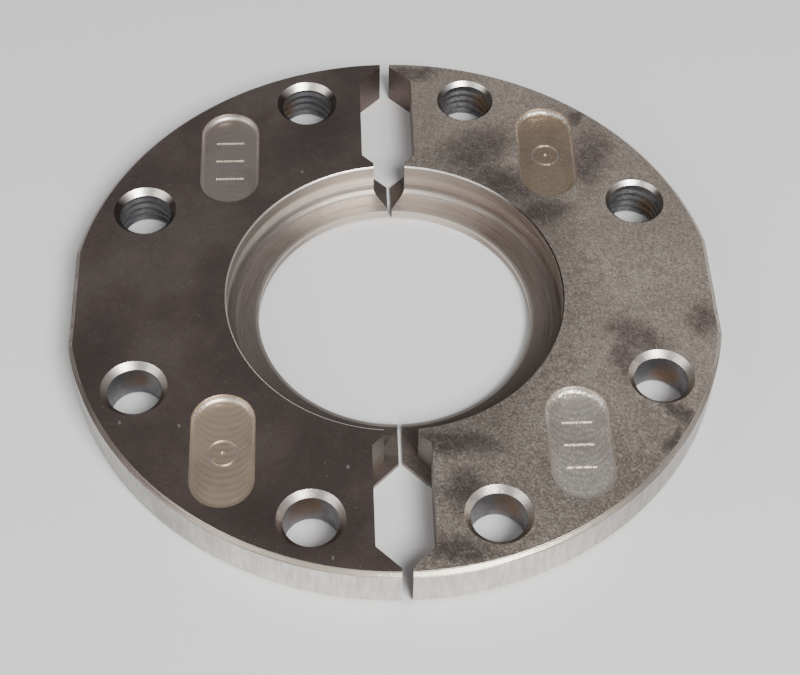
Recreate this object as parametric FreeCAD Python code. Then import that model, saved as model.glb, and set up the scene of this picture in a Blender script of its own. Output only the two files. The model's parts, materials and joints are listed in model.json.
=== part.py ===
import FreeCAD, Part
import math
import os

# Two-piece clamp ring: two half rings, each one solid, face each other across a split
# along the plane X = 0. The ring axis is Z and its underside is Z = 0. Lengths are in mm.

V = FreeCAD.Vector
UP = V(0, 0, 1)

# Overall ring
OUTER_R = 64.0          # turned outside radius
THICK = 9.5             # underside to top face
EDGE_CHAMFER = 0.85     # 45 degree break on both outside edges
FLAT_X = 62.9           # distance from the axis to the small flat at each side

# Stepped bore
LIP_R = 27.0            # smallest bore, in the inner lip
STEP_R = 33.0           # counterbore that opens to the top face
LEDGE_Z = 2.5           # height of the ledge between the two
STEP_FILLET = 2.0       # concave corner where counterbore wall meets the ledge
LIP_CHAMFER = 0.5       # underside of the lip
STEP_BREAK = 0.25       # top edge of the counterbore

# Split between the halves
LAND_X = 0.4            # inner end face to the split plane
RELIEF_X = 1.0          # outer end face to the split plane
NOTCH_X = 5.5           # parallel wall of the end notch to the split plane
NOTCH_IN_Y = 40.0       # inner corner of the notch where it goes right through
NOTCH_OUT_Y = 57.9      # outer corner of the notch
WEB_Z = 1.0             # thin web left under the slot and vee that reach in to the bore
SLANT_Y = 36.4          # corner where the upper walls leave the notch at 45 degrees
SLOT_X = 3.2            # slot wall to the split plane, from the slant to the counterbore
VEE_Y = 32.3            # where the slot gives way to the vee that cuts the ledge
VEE_DEG = 60.0          # slant of the vee's walls, measured from the X direction

# Screw holes, four in each half
HOLE_PCR = 54.5         # pitch circle radius
HOLE_DEG = (24.0, 72.0)
HOLE_R = 5.1            # minor radius of M12, and the plain holes' radius
THREAD_R = 5.9          # groove radius of the thread form
THREAD_PITCH = 1.75
MOUTH_R = 6.3           # radius of the 45 degree mouth chamfers
SMALL_MOUTH_R = 5.95    # the same on the right half's threaded holes

# Shallow obround pockets, two in each half
POCKET_X = 32.9
POCKET_Y = 36.6
POCKET_L = 25.0
POCKET_W = 12.0
POCKET_D = 1.3
POCKET_FILLET = 1.25

# Match marks cut in the pocket floors
MARK_D = 0.3
MARK_W = 0.6
MARK_H = 6.0
MARK_STEP = 5.0


def prism(points, z0, z1):
    wire = Part.makePolygon([V(x, y, z0) for x, y in points + points[:1]])
    return Part.Face(wire).extrude(V(0, 0, z1 - z0))


def full_ring():
    # Half section in the X-Z plane, walked round from the lip's underside chamfer.
    a = V(LIP_R + LIP_CHAMFER, 0, 0)
    b = V(OUTER_R - EDGE_CHAMFER, 0, 0)
    c = V(OUTER_R, 0, EDGE_CHAMFER)
    d = V(OUTER_R, 0, THICK - EDGE_CHAMFER)
    e = V(OUTER_R - EDGE_CHAMFER, 0, THICK)
    f = V(STEP_R + STEP_BREAK, 0, THICK)
    g = V(STEP_R, 0, THICK - STEP_BREAK)
    h = V(STEP_R, 0, LEDGE_Z + STEP_FILLET)
    s = STEP_FILLET * (1.0 - math.sqrt(0.5))
    m = V(STEP_R - s, 0, LEDGE_Z + s)
    i = V(STEP_R - STEP_FILLET, 0, LEDGE_Z)
    j = V(LIP_R, 0, LEDGE_Z)
    k = V(LIP_R, 0, LIP_CHAMFER)
    lines = [(a, b), (b, c), (c, d), (d, e), (e, f), (f, g), (g, h), (i, j), (j, k), (k, a)]
    edges = [Part.makeLine(p, q) for p, q in lines]
    edges.append(Part.Arc(h, m, i).toShape())
    wire = Part.Wire(Part.__sortEdges__(edges))
    return Part.Face(wire).revolve(V(0, 0, 0), UP, 360)


def side_flat():
    # Material beyond the flat at +X, with the same edge break top and bottom.
    x0 = FLAT_X - EDGE_CHAMFER
    far = OUTER_R + 5.0
    section = [(x0, THICK + 1.0), (x0, THICK), (FLAT_X, THICK - EDGE_CHAMFER),
               (FLAT_X, EDGE_CHAMFER), (x0, 0.0), (x0, -1.0), (far, -1.0), (far, THICK + 1.0)]
    wire = Part.makePolygon([V(x, -20.0, z) for x, z in section + section[:1]])
    return Part.Face(wire).extrude(V(0, 40.0, 0))


def end_cut(side):
    # Everything to remove at one end of the +X half: the split, with the notch's 45 degree
    # slants at both ends, and the slot and vee that are cut from above down to the web.
    run_in = NOTCH_X - LAND_X
    run_out = NOTCH_X - RELIEF_X
    outline = [(-80.0, 0.0), (LAND_X, 0.0), (LAND_X, NOTCH_IN_Y - run_in), (NOTCH_X, NOTCH_IN_Y),
               (NOTCH_X, NOTCH_OUT_Y), (RELIEF_X, NOTCH_OUT_Y + run_out), (RELIEF_X, 80.0),
               (-80.0, 80.0)]
    through = prism([(x, y * side) for x, y in outline], -1.0, THICK + 1.0)
    tip = VEE_Y - (SLOT_X + 1.0) * math.tan(math.radians(VEE_DEG))
    outline = [(-1.0, tip), (SLOT_X, VEE_Y), (SLOT_X, SLANT_Y - NOTCH_X + SLOT_X),
               (NOTCH_X, SLANT_Y), (NOTCH_X, NOTCH_OUT_Y), (-1.0, NOTCH_OUT_Y)]
    upper = prism([(x, y * side) for x, y in outline], WEB_Z, THICK + 1.0)
    return [through, upper]


def hole_cut(angle, threaded, mouth):
    x = HOLE_PCR * math.cos(math.radians(angle))
    y = HOLE_PCR * math.sin(math.radians(angle))
    depth = mouth - HOLE_R
    outline = [(0.0, -1.0), (mouth, -1.0), (mouth, 0.0), (HOLE_R, depth)]
    if threaded:
        # Ring grooves of thread section, one for each turn of the pitch.
        crest = THREAD_PITCH / 8.0
        flank = (THREAD_R - HOLE_R) * math.tan(math.radians(30.0))
        z = depth + crest + flank + 0.2
        while z + crest + flank < THICK - depth:
            outline.append((HOLE_R, z - flank - crest / 2.0))
            outline.append((THREAD_R, z - crest / 2.0))
            outline.append((THREAD_R, z + crest / 2.0))
            outline.append((HOLE_R, z + flank + crest / 2.0))
            z += THREAD_PITCH
    outline += [(HOLE_R, THICK - depth), (mouth, THICK), (mouth, THICK + 1.0), (0.0, THICK + 1.0)]
    wire = Part.makePolygon([V(x + r, y, z) for r, z in outline + outline[:1]])
    return Part.Face(wire).revolve(V(x, y, 0), UP, 360)


def obround(length, width, z0, z1):
    straight = length / 2.0 - width / 2.0
    block = Part.makeBox(width, 2.0 * straight, z1 - z0, V(-width / 2.0, -straight, z0))
    end = Part.makeCylinder(width / 2.0, z1 - z0, V(0, straight, z0))
    other = Part.makeCylinder(width / 2.0, z1 - z0, V(0, -straight, z0))
    return block.fuse([end, other]).removeSplitter()


def pocket_cut(x, y):
    floor = THICK - POCKET_D
    tool = obround(POCKET_L, POCKET_W, floor, THICK + 1.0)
    rim = [e for e in tool.Edges if abs(e.BoundBox.ZMax - floor) < 1e-6]
    tool = tool.makeFillet(POCKET_FILLET, rim)
    tool.translate(V(x, y, 0))
    return tool


def stroke_marks(x, y):
    # Three parallel strokes across the pocket, like chisel cuts.
    floor = THICK - POCKET_D
    cuts = []
    for n in (-1, 0, 1):
        bar = obround(MARK_H, MARK_W, floor - MARK_D, floor + 0.1)
        bar.rotate(V(0, 0, 0), UP, 90)
        bar.translate(V(x, y + n * MARK_STEP, 0))
        cuts.append(bar)
    return cuts


def ring_mark(x, y):
    # One ring groove with a centre dot, like a round punch.
    floor = THICK - POCKET_D
    outer = Part.makeCylinder(MARK_H / 2.0, MARK_D + 0.1, V(x, y, floor - MARK_D))
    inner = Part.makeCylinder(MARK_H / 2.0 - MARK_W, MARK_D + 0.3, V(x, y, floor - MARK_D - 0.1))
    dot = Part.makeCylinder(MARK_W * 0.8, MARK_D + 0.1, V(x, y, floor - MARK_D))
    return [outer.cut(inner), dot]


def half_ring(mouth):
    # The +X half, threaded holes towards +Y and plain holes towards -Y.
    cuts = [side_flat()] + end_cut(1) + end_cut(-1)
    for angle in HOLE_DEG:
        cuts.append(hole_cut(angle, True, mouth))
        cuts.append(hole_cut(-angle, False, MOUTH_R))
    cuts.append(pocket_cut(POCKET_X, POCKET_Y))
    cuts.append(pocket_cut(POCKET_X, -POCKET_Y))
    return full_ring().cut(cuts)


right = half_ring(SMALL_MOUTH_R)
right = right.cut(ring_mark(POCKET_X, POCKET_Y) + stroke_marks(POCKET_X, -POCKET_Y))
left = half_ring(MOUTH_R).mirror(V(0, 0, 0), V(1, 0, 0))
left = left.cut(stroke_marks(-POCKET_X, POCKET_Y) + ring_mark(-POCKET_X, -POCKET_Y))

os.makedirs("parts", exist_ok=True)
for name, shape in (("left_half", left), ("right_half", right)):
    solid = shape.Solids[0]
    print(name, len(shape.Solids), shape.isValid(), round(solid.Volume, 1), len(solid.Faces))
    solid.exportStep("parts/" + name + ".step")
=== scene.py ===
import json
import math

import bpy
from mathutils import Matrix, Vector


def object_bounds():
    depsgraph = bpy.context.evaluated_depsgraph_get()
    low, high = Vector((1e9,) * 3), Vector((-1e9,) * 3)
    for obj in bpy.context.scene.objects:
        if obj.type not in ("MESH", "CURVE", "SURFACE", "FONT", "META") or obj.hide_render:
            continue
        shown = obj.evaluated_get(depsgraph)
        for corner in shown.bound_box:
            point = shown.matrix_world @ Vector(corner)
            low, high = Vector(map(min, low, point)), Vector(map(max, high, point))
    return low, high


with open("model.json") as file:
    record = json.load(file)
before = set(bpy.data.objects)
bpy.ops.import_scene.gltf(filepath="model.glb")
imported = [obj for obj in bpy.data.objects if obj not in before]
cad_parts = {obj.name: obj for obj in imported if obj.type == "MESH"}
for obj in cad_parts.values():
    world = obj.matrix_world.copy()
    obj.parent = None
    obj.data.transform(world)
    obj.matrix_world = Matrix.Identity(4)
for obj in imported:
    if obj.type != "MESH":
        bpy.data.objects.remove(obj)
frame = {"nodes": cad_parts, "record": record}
cad_box = [list(map(float, corner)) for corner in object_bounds()]

# ---------------------------------------------------------------- places on the ring, in metres

MM = 0.001
TOP = cad_box[1][2]
OUTER_R = cad_box[1][1]
FLAT_X = cad_box[1][0]
mounts = {mount["name"]: mount for mount in frame["record"]["mounts"]}
LIP_R = mounts["bore"]["dims"]["r_mm"] * MM
STEP_R = mounts["counterbore"]["dims"]["r_mm"] * MM
patterns = [mounts[name]["dims"] for name in ("screw_holes_wide", "screw_holes_far")]
HOLES = [(d["spacing_x_mm"] * MM / 2, d["spacing_y_mm"] * MM / 2) for d in patterns]
HOLE_R = patterns[0]["hole_r_mm"] * MM
MOUTH_R = 6.4 * MM           # the mouth's edge on the top face
MOUTH_D = 1.25 * MM          # the mouth's depth
LEDGE_Z = 2.5 * MM           # height of the ledge in the bore
WEB_Z = 1.0 * MM             # height of the thin web at the split
SPLIT_X = 6.0 * MM           # the split's walls are within this of its plane
CHAMFER_R = 61.5 * MM        # the rim's edge break is outside this
POCKET_X, POCKET_Y = 32.9 * MM, 36.6 * MM
POCKET_R = 6.0 * MM
POCKET_STRAIGHT = 6.5 * MM   # half the length of the pocket's straight sides
POCKET_D = 1.3 * MM
CUTTER_R = 5.6 * MM          # radius of the arcs on a pocket's floor
CUTTER_STEP = 1.5 * MM       # distance from one arc to the next

# ---------------------------------------------------------------- node helpers


def tone(red, green, blue):
    """Linear colour from the 0 to 255 values that a screen shows."""
    return tuple(((c / 255 + 0.055) / 1.055) ** 2.4 for c in (red, green, blue))


class Tree:
    """A material's node tree with short calls for the nodes used below."""

    def __init__(self, name):
        self.mat = bpy.data.materials.new(name)
        self.mat.use_nodes = True
        self.t = self.mat.node_tree
        self.t.nodes.clear()
        out = self.t.nodes.new("ShaderNodeOutputMaterial")
        self.bsdf = self.t.nodes.new("ShaderNodeBsdfPrincipled")
        self.t.links.new(self.bsdf.outputs[0], out.inputs[0])
        self.coord = self.t.nodes.new("ShaderNodeTexCoord").outputs["Object"]
        geometry = self.t.nodes.new("ShaderNodeNewGeometry")
        self.face_normal = geometry.outputs["True Normal"]
        self.normal = geometry.outputs["Normal"]

    def link(self, value, socket):
        if isinstance(value, bpy.types.NodeSocket):
            self.t.links.new(value, socket)
        elif isinstance(value, tuple) and len(socket.default_value) == 4:
            socket.default_value = (*value, 1.0)
        else:
            socket.default_value = value

    def math(self, op, a, b=0.0):
        n = self.t.nodes.new("ShaderNodeMath")
        n.operation = op
        self.link(a, n.inputs[0])
        self.link(b, n.inputs[1])
        return n.outputs[0]

    def add(self, a, b):
        return self.math("ADD", a, b)

    def sub(self, a, b):
        return self.math("SUBTRACT", a, b)

    def mul(self, *values):
        total = values[0]
        for value in values[1:]:
            total = self.math("MULTIPLY", total, value)
        return total

    def largest(self, *values):
        top = values[0]
        for value in values[1:]:
            top = self.math("MAXIMUM", top, value)
        return top

    def step(self, value, a, b, lo=0.0, hi=1.0):
        """Goes smoothly from lo to hi while value goes from a to b."""
        n = self.t.nodes.new("ShaderNodeMapRange")
        n.interpolation_type = "SMOOTHSTEP"
        self.link(value, n.inputs[0])
        for i, v in enumerate((a, b, lo, hi)):
            n.inputs[i + 1].default_value = v
        return n.outputs[0]

    def band(self, value, middle, half, soft):
        """1 where value is within half of middle, falling to 0 over soft."""
        off = self.math("ABSOLUTE", self.sub(value, middle))
        return self.step(off, half, half + soft, 1.0, 0.0)

    def invert(self, value):
        return self.sub(1.0, value)

    def xyz(self, vector):
        n = self.t.nodes.new("ShaderNodeSeparateXYZ")
        self.link(vector, n.inputs[0])
        return n.outputs

    def vec(self, x, y, z=0.0):
        n = self.t.nodes.new("ShaderNodeCombineXYZ")
        for i, v in enumerate((x, y, z)):
            self.link(v, n.inputs[i])
        return n.outputs[0]

    def vmath(self, op, a, b=(0.0, 0.0, 0.0), scale=None):
        n = self.t.nodes.new("ShaderNodeVectorMath")
        n.operation = op
        self.link(a, n.inputs[0])
        self.link(b, n.inputs[1])
        if scale is not None:
            self.link(scale, n.inputs["Scale"])
        return n.outputs["Value"] if op == "LENGTH" else n.outputs[0]

    def scaled(self, vector, factor):
        return self.vmath("SCALE", vector, scale=factor)

    def noise(self, vector, scale, detail=4.0, rough=0.6):
        n = self.t.nodes.new("ShaderNodeTexNoise")
        self.link(vector, n.inputs["Vector"])
        n.inputs["Scale"].default_value = scale
        n.inputs["Detail"].default_value = detail
        n.inputs["Roughness"].default_value = rough
        return n.outputs

    def cells(self, vector, scale):
        """A random colour for each small cell."""
        n = self.t.nodes.new("ShaderNodeTexVoronoi")
        self.link(vector, n.inputs["Vector"])
        n.inputs["Scale"].default_value = scale
        return n.outputs["Color"]

    def mix(self, factor, a, b):
        n = self.t.nodes.new("ShaderNodeMix")
        n.data_type = "RGBA"
        self.link(factor, n.inputs[0])
        self.link(a, n.inputs[6])
        self.link(b, n.inputs[7])
        return n.outputs[2]

    def fmix(self, factor, a, b):
        n = self.t.nodes.new("ShaderNodeMix")
        n.data_type = "FLOAT"
        self.link(factor, n.inputs[0])
        self.link(a, n.inputs[2])
        self.link(b, n.inputs[3])
        return n.outputs[0]

    def bump(self, height, distance, normal, strength):
        n = self.t.nodes.new("ShaderNodeBump")
        n.inputs["Distance"].default_value = distance
        self.link(strength, n.inputs["Strength"])
        self.link(height, n.inputs["Height"])
        self.link(normal, n.inputs["Normal"])
        return n.outputs[0]

    def distance(self, x, y, cx, cy):
        return self.vmath("LENGTH", self.vec(self.sub(x, cx), self.sub(y, cy)))


# ---------------------------------------------------------------- where each surface of a half is


class Zones:
    """Masks, 0 to 1, for the surfaces of a half ring, from its own coordinates and face normal."""

    def __init__(self, m):
        x, y, z = m.xyz(m.coord)
        self.x, self.y, self.z = x, y, z
        self.r = m.vmath("LENGTH", m.vec(x, y))
        self.toward_back = m.math("DIVIDE", y, self.r)
        self.around = m.vec(m.math("DIVIDE", x, self.r), self.toward_back)
        self.tangent = m.vec(m.math("DIVIDE", m.mul(y, -1.0), self.r), m.math("DIVIDE", x, self.r))
        self.back = m.step(y, -1 * MM, 1 * MM)
        ax, ay = m.math("ABSOLUTE", x), m.math("ABSOLUTE", y)
        nz = m.xyz(m.face_normal)[2]
        steep = m.math("ABSOLUTE", nz)
        up = m.step(nz, 0.97, 0.99)
        upright = m.step(steep, 0.05, 0.15, 1.0, 0.0)
        slope = m.mul(m.step(steep, 0.6, 0.65), m.step(steep, 0.75, 0.8, 1.0, 0.0))

        # The rim, with the small flats at its sides, and its 45 degree edge breaks.
        on_flat = m.step(ax, FLAT_X - 0.1 * MM, FLAT_X - 0.05 * MM)
        on_round = m.step(self.r, OUTER_R - 0.15 * MM, OUTER_R - 0.05 * MM)
        self.rim = m.mul(upright, m.largest(on_flat, on_round))
        self.rim_chamfer = m.mul(slope, m.step(self.r, CHAMFER_R, CHAMFER_R + 0.5 * MM))

        # The bore, its concave corner over the ledge, and the edge break at its top.
        self.bore = m.mul(m.step(self.r, STEP_R + 0.05 * MM, STEP_R + 0.3 * MM, 1.0, 0.0),
                          m.step(self.r, LIP_R - 0.2 * MM, LIP_R))
        self.corner = m.mul(self.bore, m.invert(upright), m.invert(up),
                            m.step(z, LEDGE_Z + 0.02 * MM, LEDGE_Z + 0.1 * MM))
        self.bore_break = m.mul(slope,
                                m.step(self.r, STEP_R + 0.35 * MM, STEP_R + 0.3 * MM),
                                m.step(self.r, STEP_R - 0.1 * MM, STEP_R),
                                m.step(z, TOP - 0.3 * MM, TOP - 0.27 * MM))

        # The split: notch, slot and vee walls, without the upright wall of the bore, and the web.
        near_split = m.mul(m.step(ax, SPLIT_X, SPLIT_X + 0.2 * MM, 1.0, 0.0),
                           m.step(self.r, LIP_R + 0.1 * MM, LIP_R + 0.3 * MM))
        bore_wall = m.mul(m.step(self.r, STEP_R - 0.1 * MM, STEP_R - 0.02 * MM),
                          m.step(self.r, STEP_R + 0.02 * MM, STEP_R + 0.1 * MM, 1.0, 0.0))
        inside_rim = m.step(self.r, OUTER_R - 0.3 * MM, OUTER_R - 0.1 * MM, 1.0, 0.0)
        self.split = m.mul(upright, near_split, m.invert(bore_wall), inside_rim)
        self.web = m.mul(up, m.step(z, WEB_Z + 0.2 * MM, WEB_Z + 0.4 * MM, 1.0, 0.0))

        # Holes: the place round the nearest hole's axis.
        first = m.distance(ax, ay, *HOLES[0])
        second = m.distance(ax, ay, *HOLES[1])
        hole_far = m.math("MINIMUM", first, second)
        is_first = m.math("LESS_THAN", first, second)
        self.hole_x = m.mul(m.sub(ax, m.fmix(is_first, HOLES[1][0], HOLES[0][0])), m.math("SIGN", x))
        self.hole_y = m.mul(m.sub(ay, m.fmix(is_first, HOLES[1][1], HOLES[0][1])), m.math("SIGN", y))
        in_hole = m.step(hole_far, MOUTH_R, MOUTH_R + 0.05 * MM, 1.0, 0.0)
        below_top = m.step(z, TOP - 0.02 * MM, TOP - 0.01 * MM, 1.0, 0.0)
        above_base = m.step(z, 0.01 * MM, 0.02 * MM)
        off_wall = m.step(hole_far, HOLE_R + 0.01 * MM, HOLE_R + 0.03 * MM)
        self.mouth = m.mul(in_hole, slope, off_wall, m.step(z, TOP - MOUTH_D, TOP - MOUTH_D + 0.05 * MM))
        self.hole_wall = m.mul(in_hole, m.math("MINIMUM", below_top, above_base), m.invert(self.mouth))

        # Pockets: distance from the middle line of the obround.
        run = m.sub(m.math("ABSOLUTE", m.sub(ay, POCKET_Y)), POCKET_STRAIGHT)
        pocket_far = m.distance(ax, m.largest(run, 0.0), POCKET_X, 0.0)
        in_pocket = m.step(pocket_far, POCKET_R, POCKET_R + 0.05 * MM, 1.0, 0.0)
        sunk = m.step(z, TOP - 0.08 * MM, TOP - 0.02 * MM, 1.0, 0.0)
        above_underside = m.step(z, TOP - 3.0 * MM, TOP - 2.9 * MM)
        self.pocket = m.mul(in_pocket, sunk, above_underside)
        self.pocket_edge = m.mul(self.pocket, m.step(pocket_far, POCKET_R - 0.8 * MM, POCKET_R - 0.3 * MM))
        below_floor = m.step(z, TOP - POCKET_D - 0.1 * MM, TOP - POCKET_D - 0.04 * MM, 1.0, 0.0)
        self.mark = m.mul(self.pocket, below_floor)
        self.pocket_x = m.sub(ax, POCKET_X)
        self.pocket_y = m.sub(ay, POCKET_Y)


def stain(m, x, y, spots, solid=0.55):
    """Soft-edged patches: each spot is centre x, centre y, half length, half width, turn in degrees."""
    total = 0.0
    for cx, cy, length, width, turn in spots:
        c, s = math.cos(math.radians(turn)), math.sin(math.radians(turn))
        dx, dy = m.sub(x, cx * MM), m.sub(y, cy * MM)
        u = m.add(m.mul(dx, c / (length * MM)), m.mul(dy, s / (length * MM)))
        v = m.add(m.mul(dx, -s / (width * MM)), m.mul(dy, c / (width * MM)))
        far = m.vmath("LENGTH", m.vec(u, v))
        total = m.largest(total, m.step(far, solid, 1.65 - solid, 1.0, 0.0))
    return total


# ---------------------------------------------------------------- steel of the two halves

# What differs between the halves. Shades are factors on the face's colour, painted shade: front_shade
# towards -Y, bore_shade next to the bore, mouth on the dull side of a hole's mouth. grain is how far the
# blasted face's normals scatter and grain_tint how far its tone does. speck is the strength of its bright
# specks, which are painted glints, and speck_share the share of cells without one. mottle is scale and
# strength, wall and ledge are the bore's dark and pale tones, the pale wall tone a painted reflection and
# the pale ledge tone a painted highlight, break is the bore's edge break, painted lit on the left half and
# painted in shade on the right, and stains and nicks are spots as stain() takes them, in mm.
LEFT = {
    "face": tone(150, 136, 130), "face_dark": tone(124, 111, 106), "face_rough": 0.36,
    "front_shade": 0.95, "bore_shade": 0.95, "mouth": 0.7,
    "grain": 0.05, "grain_tint": 0.16, "speck": 0.25, "speck_share": 0.992, "mottle": (320.0, 0.35),
    "pocket_back": tone(182, 170, 163), "pocket_front": tone(218, 198, 174),
    "wall": (tone(152, 145, 138), tone(240, 234, 226)),
    "ledge": (tone(170, 158, 152), tone(236, 222, 210)),
    "break": tone(216, 210, 204),
    "stains": [(-58, -14, 16, 8, 80), (-14, 44, 10, 7, 30), (-22, -52, 14, 6, -20)],
    "stain": tone(112, 99, 95),
    "nicks": [(-18, 32, 0.45, 0.3, 40), (-10, -41, 0.35, 0.5, 0), (-20, -47, 0.3, 0.5, 20),
              (-52, -30, 0.3, 0.5, 5), (-41, -31, 0.3, 0.5, 10), (-13, -60, 0.25, 0.5, -5),
              (-50, 18, 0.4, 0.25, 20)],
}
RIGHT = {
    "face": tone(213, 199, 187), "face_dark": tone(187, 174, 163), "face_rough": 0.5,
    "front_shade": 0.66, "bore_shade": 0.72, "mouth": 0.45,
    "grain": 0.32, "grain_tint": 0.42, "speck": 0.7, "speck_share": 0.96, "mottle": (560.0, 1.1),
    "pocket_back": tone(190, 170, 148), "pocket_front": tone(223, 214, 205),
    "wall": (tone(142, 130, 122), tone(180, 166, 157)),
    "ledge": (tone(164, 151, 143), tone(236, 222, 210)),
    "break": tone(70, 62, 58),
    "stains": [(19, 38, 9, 6, 25), (24, 28, 10, 5, -35), (31, 20, 7, 3.5, 10), (42, 34, 10, 4.5, 75),
               (40, 46.5, 3, 1.6, 60), (46, -13, 7, 4.5, -35), (43, -18, 6, 3, 80), (60, -9, 5, 4, 90),
               (52, -31, 5, 1.6, -55), (50, -37, 4, 1.3, 60), (10, -36, 9, 3.5, -5), (11, -46, 5, 4, 60),
               (9, -59, 7, 3, -5), (6, 60, 6, 2.5, 0)],
    "stain": tone(120, 108, 104), "nicks": [],
}
# Rust inside the holes: place (x, y), depth below the top face and reach, in mm.
RUST = [(-21.3, 54.4, 4.5, 3.4), (21, 54.7, 4.5, 3.4), (54, 25.2, 6.5, 3.4), (-50, -17.2, 4.0, 3.0),
        (52, -17.6, 5.5, 3.4), (-18, -46.9, 3.6, 4.2), (19, -47.3, 4.2, 3.8)]

# Tones that both halves share. A pair is what two values of a noise or a direction give.
SPECK_GLINT = tone(236, 228, 218)
NICK = tone(220, 212, 206)
BORE_BACK_HIGHLIGHT = tone(206, 196, 186)
BREAK_BACK_HIGHLIGHT = tone(226, 220, 214)
LIP_EDGE_HIGHLIGHT = tone(224, 216, 208)
RIM_REFLECTION = (tone(200, 194, 188), tone(234, 230, 224))
CHAMFER_FRONT_HIGHLIGHT = tone(224, 212, 194)
SPLIT_SHADE_AND_DIRT = (tone(122, 109, 106), tone(134, 117, 108))
SPLIT_LIT_PATCH = tone(152, 146, 142)
WEB_SHADE_AND_DIRT = (tone(136, 127, 122), tone(142, 128, 119))
HOLE = (tone(120, 119, 123), tone(146, 143, 144))
HOLE_RUST = tone(136, 108, 84)
MOUTH_HIGHLIGHT = tone(222, 214, 206)
POCKET_DIRT = tone(110, 92, 74)
POCKET_BORDER_HIGHLIGHT = tone(212, 204, 196)
MARK = tone(206, 198, 188)
MIDDLE = (0.5, 0.5, 0.5)


class Textures:
    """Patterns that more than one surface uses."""

    def __init__(self, m, z, look):
        self.mottle = m.noise(m.coord, look["mottle"][0], rough=0.65)[0]
        self.haze = m.noise(m.coord, 90.0)[0]
        self.dirt = m.noise(m.coord, 240.0, rough=0.65)[0]
        self.random = m.cells(m.coord, 3300.0)

        # Smudges, their outlines broken up by noise.
        wander = m.noise(m.coord, 220.0)[1]
        wx, wy, _ = m.xyz(m.scaled(m.vmath("SUBTRACT", wander, MIDDLE), 6.0 * MM))
        smudges = stain(m, m.add(z.x, wx), m.add(z.y, wy), look["stains"], 0.3)
        self.smudges = m.mul(smudges, m.step(self.mottle, 0.2, 0.6, 0.6, 1.0))

        # The arcs that a cutter left on the pockets' floors, -1 to 1.
        arc = m.sub(CUTTER_R ** 2, m.mul(z.pocket_x, z.pocket_x))
        arc = m.math("SQRT", m.largest(arc, 0.0))
        sweep = m.math("SINE", m.mul(m.sub(z.pocket_y, arc), 2 * math.pi / CUTTER_STEP))
        self.sweep = m.mul(sweep, m.step(self.mottle, 0.3, 0.7, 0.3, 1.0), m.fmix(z.back, 1.0, 0.5))


def face_color(m, z, look, tex):
    """The top face, and every surface that has no finish of its own."""
    cloud = m.noise(m.coord, 45.0)[0]
    color = m.mix(m.step(cloud, 0.36, 0.66), look["face_dark"], look["face"])
    mottled = m.mul(m.step(tex.mottle, 0.38, 0.66), look["mottle"][1])
    color = m.mix(mottled, color, look["face_dark"])
    color = m.mix(m.mul(tex.smudges, 0.8), color, look["stain"])
    shade = m.fmix(m.step(z.y, -10 * MM, -50 * MM), 1.0, look["front_shade"])
    near_bore = m.fmix(m.step(z.r, 44 * MM, 34 * MM), 1.0, look["bore_shade"])
    color = m.scaled(color, m.mul(shade, near_bore))

    # Grit, bright specks that are painted glints, and nicks.
    fine = m.noise(m.coord, 2600.0, detail=2.0)[0]
    coarse, pick, _ = m.xyz(tex.random)
    grit = m.add(m.mul(m.sub(fine, 0.5), 2.2), m.mul(m.sub(coarse, 0.5), 0.8))
    color = m.scaled(color, m.add(1.0, m.mul(grit, look["grain_tint"])))
    bright = m.step(pick, look["speck_share"], look["speck_share"] + 0.01)
    color = m.mix(m.mul(bright, look["speck"], m.fmix(tex.smudges, 1.0, 0.35)), color, SPECK_GLINT)
    if look["nicks"]:
        color = m.mix(m.mul(stain(m, z.x, z.y, look["nicks"]), 0.6), color, NICK)
    return color


def bore_color(m, z, look, tex):
    """Turned steel with painted light: paler towards the back split, a painted highlight, darker towards
    the front, painted shade, a bright band low on the upright wall, a painted reflection, painted shade in
    the corner and a painted highlight on the lip's edge.
    """
    # Painted highlight: the ledge is paler towards the back split. Painted shade: it is darker towards the
    # front.
    ledge = m.mix(m.step(z.toward_back, 0.66, 0.99), *look["ledge"])
    ledge = m.scaled(ledge, m.step(z.toward_back, -0.9, 0.1, 0.42, 0.85))
    # Painted reflection: a bright band low on the upright wall, with a painted highlight on the line at
    # its top, both stronger towards the back.
    reflection_band = m.band(z.z, 5.2 * MM, 0.7 * MM, 1.2 * MM)
    top_line_highlight = m.step(z.z, TOP - 0.35 * MM, TOP - 0.25 * MM)
    painted_highlight = m.mul(m.step(z.toward_back, -0.2, 0.9, 0.12, 1.0), m.largest(reflection_band, top_line_highlight))
    wall = m.mix(painted_highlight, *look["wall"])
    # Painted highlight: the wall is paler towards the back split.
    wall = m.mix(m.step(z.toward_back, 0.7, 0.99, 0.0, 0.45), wall, BORE_BACK_HIGHLIGHT)
    color = m.mix(m.step(z.z, 2.7 * MM, 3.6 * MM), ledge, wall)
    # Painted shade: darker in the concave corner over the ledge.
    color = m.scaled(color, m.fmix(z.corner, 1.0, 0.72))
    color = m.mix(m.mul(m.step(tex.haze, 0.4, 0.7), 0.25), color, m.scaled(color, 0.75))
    # Painted highlight: a bright line along the lip's edge.
    lip_edge_highlight = m.mul(m.step(z.r, LIP_R + 0.9 * MM, LIP_R + 0.2 * MM), m.step(z.z, 1.7 * MM, 1.9 * MM))
    return m.mix(m.mul(lip_edge_highlight, 0.5), color, LIP_EDGE_HIGHLIGHT)


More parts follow.
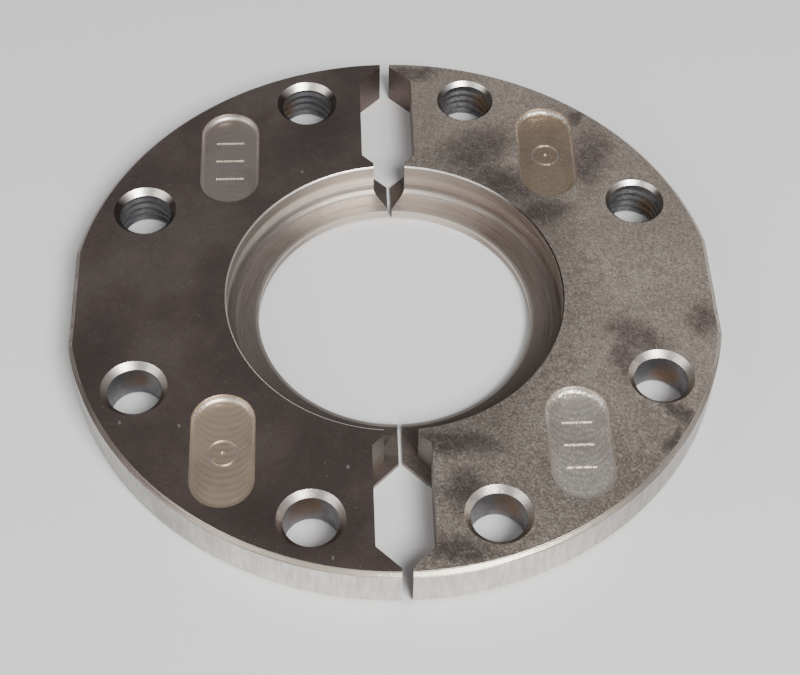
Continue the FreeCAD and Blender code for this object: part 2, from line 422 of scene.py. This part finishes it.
def rim_colors(m, z, look):
    """The rim, turned steel whose upright streaks are a painted reflection, and its edge break. Both are
    pale only at the front, a painted highlight, and darker elsewhere, painted shade.
    """
    streak_at = m.vmath("ADD", m.scaled(z.around, 50.0), m.scaled(m.coord, 160.0))
    streak = m.noise(streak_at, 1.0, rough=0.7)[0]
    toward_front = m.step(z.toward_back, -0.7, -0.95)
    rim = m.mix(m.step(streak, 0.3, 0.7), *RIM_REFLECTION)
    rim = m.scaled(rim, m.fmix(toward_front, 0.55, 1.0))
    return rim, m.mix(toward_front, m.scaled(look["face"], 0.75), CHAMFER_FRONT_HIGHLIGHT)


def split_colors(m, z, tex):
    """The split's walls and web: dark, partly oxide with rusty dirt and partly painted shade of the deep
    split, and paler on the front walls near the bore, which is painted light.
    """
    wall = m.mix(m.step(tex.dirt, 0.4, 0.65), *SPLIT_SHADE_AND_DIRT)
    inner_front = m.mul(m.step(z.y, -20 * MM, -30 * MM), m.step(z.y, -45 * MM, -42 * MM))
    # Painted light: the front walls near the bore are paler, as a lit patch.
    wall = m.mix(inner_front, wall, SPLIT_LIT_PATCH)
    return wall, m.mix(m.step(tex.dirt, 0.35, 0.6), *WEB_SHADE_AND_DIRT)


def hole_colors(m, z, look, tex):
    """Dark grey walls with patches of rust, and mouths with a painted highlight towards +Y and painted
    shade on their other side, darker still at the back holes.
    """
    depth = m.sub(TOP, z.z)
    rust = 0.0
    for x, y, low, reach in RUST:
        off = m.vec(m.sub(z.x, x * MM), m.sub(z.y, y * MM), m.sub(depth, low * MM))
        patch = m.step(m.vmath("LENGTH", off), 0.4 * reach * MM, 1.25 * reach * MM, 1.0, 0.0)
        rust = m.largest(rust, patch)
    rust = m.mul(rust, m.step(tex.dirt, 0.34, 0.6, 0.25, 0.85))
    wall = m.mix(rust, m.mix(m.step(tex.dirt, 0.35, 0.65), *HOLE), HOLE_RUST)
    mouth_shade = m.scaled(look["face"], m.fmix(z.back, look["mouth"], 0.22))
    painted_highlight = m.fmix(z.back, m.step(z.hole_y, -2.0 * MM, 5.5 * MM), m.step(z.hole_y, 2.0 * MM, 5.2 * MM))
    return wall, m.mix(painted_highlight, mouth_shade, MOUTH_HIGHLIGHT)


def pocket_color(m, z, look, tex):
    """Milled floors with the cutter's arcs, rounded borders made pale by a painted highlight, and bright
    marks.
    """
    color = m.mix(z.back, look["pocket_front"], look["pocket_back"])
    dirty = m.mul(m.step(tex.haze, 0.42, 0.66), 0.6)
    color = m.mix(dirty, color, m.mix(0.4, color, POCKET_DIRT))
    color = m.scaled(color, m.add(1.0, m.mul(tex.sweep, 0.09)))
    # Painted highlight: a pale band round the pocket's rounded border.
    color = m.mix(z.pocket_edge, color, m.mix(0.8, color, POCKET_BORDER_HIGHLIGHT))
    return m.mix(m.mul(z.mark, 0.7), color, MARK)


def half_roughness(m, z, look, tex):
    rough = m.add(look["face_rough"], m.mul(m.sub(tex.mottle, 0.5), 0.18))
    rough = m.fmix(m.largest(z.bore, z.rim, z.mouth, z.rim_chamfer), rough, 0.34)
    rough = m.fmix(z.bore, rough, 0.5)
    rough = m.fmix(z.pocket, rough, 0.42)
    return m.fmix(m.largest(z.split, z.hole_wall), rough, 0.55)


def half_normal(m, z, look, tex):
    # Turned surfaces spread light across their grooves.
    rings_at = m.vec(m.mul(z.r, 9000.0), m.mul(z.z, 9000.0), m.mul(z.toward_back, 6.0))
    rings = m.noise(rings_at, 1.0, detail=2.0, rough=0.55)[0]
    turned = m.largest(z.bore, z.rim, z.rim_chamfer)
    across = m.vmath("CROSS_PRODUCT", z.tangent, m.normal)
    normal = m.vmath("ADD", m.normal, m.scaled(across, m.mul(m.sub(rings, 0.5), turned, 1.6)))

    # The blasted face spreads it every way.
    grain = m.fmix(m.largest(turned, z.mouth), look["grain"], 0.06)
    grain = m.mul(grain, m.fmix(tex.smudges, 1.0, 0.6))
    normal = m.vmath("ADD", normal, m.scaled(m.vmath("SUBTRACT", tex.random, MIDDLE), grain))

    # Leaning towards the hole's axis softens the thread's turns.
    inward = m.vmath("NORMALIZE", m.vec(m.mul(z.hole_x, -1.0), m.mul(z.hole_y, -1.0)))
    normal = m.mix(m.mul(z.hole_wall, 0.6), normal, inward)
    normal = m.vmath("NORMALIZE", normal)
    normal = m.bump(m.mul(tex.sweep, z.pocket), 0.03 * MM, normal, 0.35)
    return m.bump(tex.mottle, 0.08 * MM, normal, 0.25)


def half_steel(name, look):
    m = Tree(name)
    z = Zones(m)
    tex = Textures(m, z, look)
    rim, chamfer = rim_colors(m, z, look)
    split, web = split_colors(m, z, tex)
    hole_wall, mouth = hole_colors(m, z, look, tex)
    # The bore's edge break with painted light: a painted highlight towards the back, painted lit on the
    # left half and painted in shade on the right.
    bore_break = m.mix(m.step(z.toward_back, 0.6, 0.9), look["break"], BREAK_BACK_HIGHLIGHT)

    color = face_color(m, z, look, tex)
    for mask, layer in ((z.bore, bore_color(m, z, look, tex)), (z.bore_break, bore_break),
                        (z.rim, rim), (z.rim_chamfer, chamfer), (z.split, split), (z.web, web),
                        (z.hole_wall, hole_wall), (z.mouth, mouth),
                        (z.pocket, pocket_color(m, z, look, tex))):
        color = m.mix(mask, color, layer)

    m.link(color, m.bsdf.inputs["Base Color"])
    m.bsdf.inputs["Metallic"].default_value = 1.0
    m.link(half_roughness(m, z, look, tex), m.bsdf.inputs["Roughness"])
    m.link(half_normal(m, z, look, tex), m.bsdf.inputs["Normal"])
    return m.mat


for node, look in (("left_half", LEFT), ("right_half", RIGHT)):
    obj = frame["nodes"][node]
    obj.data.materials.clear()
    obj.data.materials.append(half_steel(node + "_steel", look))

# ---------------------------------------------------------------- floor


def make_floor():
    half = 1.6
    mesh = bpy.data.meshes.new("floor")
    corners = [(-half, -half, 0), (half, -half, 0), (half, half, 0), (-half, half, 0)]
    mesh.from_pydata(corners, [], [(0, 1, 2, 3)])
    floor = bpy.data.objects.new("floor", mesh)
    bpy.context.scene.collection.objects.link(floor)
    m = Tree("floor_pale")
    m.bsdf.inputs["Base Color"].default_value = (0.80, 0.80, 0.79, 1.0)
    m.bsdf.inputs["Roughness"].default_value = 0.8
    floor.data.materials.append(m.mat)


make_floor()

# ---------------------------------------------------------------- camera


def make_camera():
    target = Vector((0.57 * MM, -11.63 * MM, TOP))
    elevation, azimuth, roll = math.radians(52.44), math.radians(3.15), math.radians(1.23)
    distance = 0.3455
    flat = math.cos(elevation)
    back = Vector((-math.sin(azimuth) * flat, -math.cos(azimuth) * flat, math.sin(elevation)))
    level = (-back).cross(Vector((0, 0, 1))).normalized()
    upright = level.cross(-back)
    side = math.cos(roll) * level + math.sin(roll) * upright
    above = math.cos(roll) * upright - math.sin(roll) * level
    data = bpy.data.cameras.new("camera")
    data.sensor_width = 36.0
    data.lens = 81.0
    data.clip_start = 0.01
    data.clip_end = 20.0
    camera = bpy.data.objects.new("camera", data)
    turn = Matrix((side, above, back)).transposed().to_4x4()
    camera.matrix_world = Matrix.Translation(target + distance * back) @ turn
    bpy.context.scene.collection.objects.link(camera)
    bpy.context.scene.camera = camera


make_camera()

# ---------------------------------------------------------------- light


def area(name, place, size, power):
    """A square light at place, aimed at the ring's middle."""
    data = bpy.data.lights.new(name, "AREA")
    data.shape = "SQUARE"
    data.size = size
    data.energy = power
    light = bpy.data.objects.new(name, data)
    light.location = place
    light.rotation_euler = (-Vector(place)).to_track_quat("-Z", "Y").to_euler()
    bpy.context.scene.collection.objects.link(light)


area("key", (0.28, -0.6, 0.75), 0.38, 14.0)
area("fill", (-0.7, -0.3, 0.55), 0.6, 2.5)
world = bpy.data.worlds.new("studio")
world.use_nodes = True
world.node_tree.nodes["Background"].inputs[0].default_value = (0.97, 0.98, 1.0, 1.0)
world.node_tree.nodes["Background"].inputs[1].default_value = 0.3
bpy.context.scene.world = world
